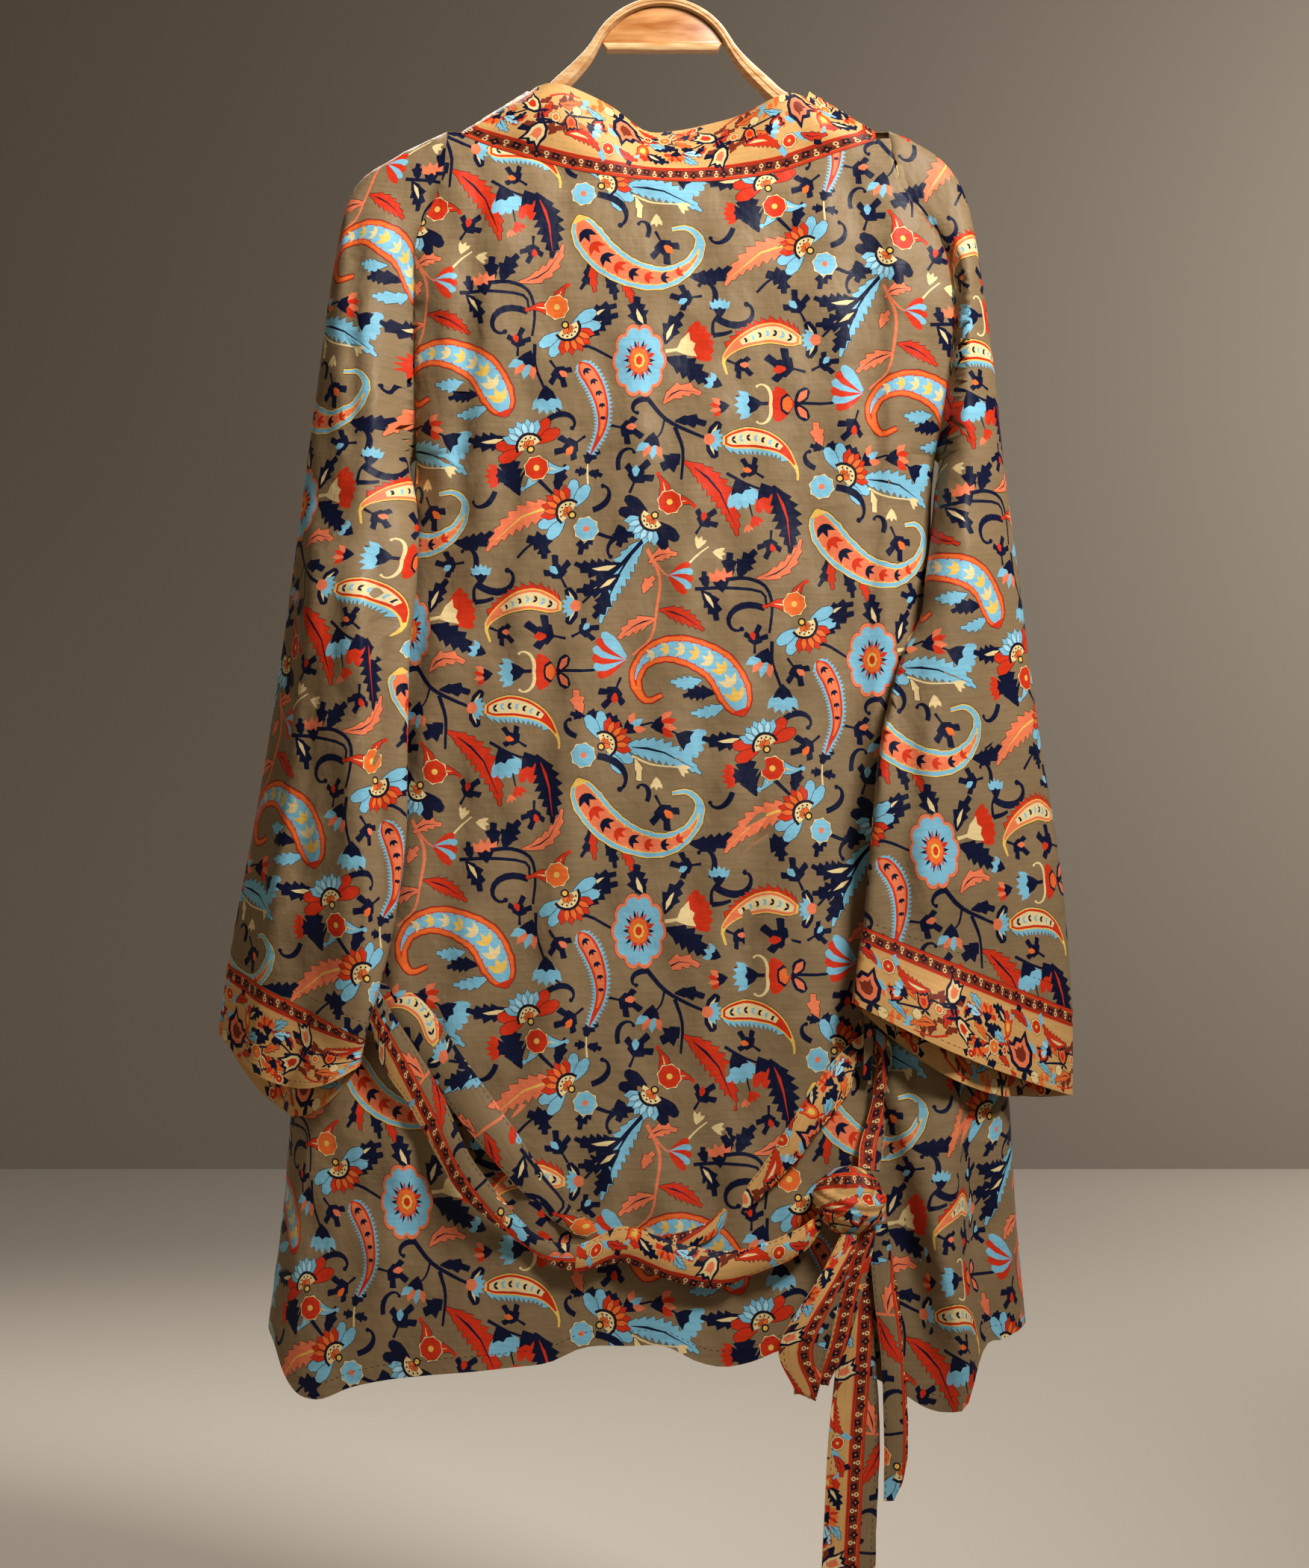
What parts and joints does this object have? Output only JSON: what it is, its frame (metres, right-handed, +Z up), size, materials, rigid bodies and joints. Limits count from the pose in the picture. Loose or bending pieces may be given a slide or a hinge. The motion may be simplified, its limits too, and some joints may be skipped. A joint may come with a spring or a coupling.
{
  "type": "kimono robe on a wooden hanger",
  "caption": "Short open kimono robe of printed silk with wide sleeves, border bands and a tied sash, hanging on a bent-wood clothes hanger.",
  "frame": {"origin": "inside of the top of the hanger's hook, where it rests on a rail", "axes": "+Z up, -Y towards the robe's front, +X towards its wearer's left"},
  "size_m": [0.629, 0.1777, 1.244],
  "materials": {
    "silk": "printed satin, bronze-olive ground",
    "border": "printed satin, cream border with red lines",
    "sash": "printed satin, border print",
    "pale_wood": "pale lacquered beech",
    "veneer": "warm brown veneer",
    "metal": "bright wire"
  },
  "bodies": {
    "root": {"back_panel": "silk", "front_left": "silk", "front_right": "silk", "sleeve_left": "silk", "sleeve_right": "silk", "cuff_left": "border", "cuff_right": "border", "neckband": "border", "belt_loop_left": "silk", "belt_loop_right": "silk", "sash_swag": "sash", "sash_wrap": "sash", "sash_drop": "sash", "sash_knot": "sash", "sash_bow_1": "sash", "sash_bow_2": "sash", "sash_tail_long": "sash", "sash_tail_short": "sash", "hanger_rail": "pale_wood", "hanger_panel": "veneer", "hanger_bar": "pale_wood", "hanger_hook": "metal"}
  },
  "joints": []
}
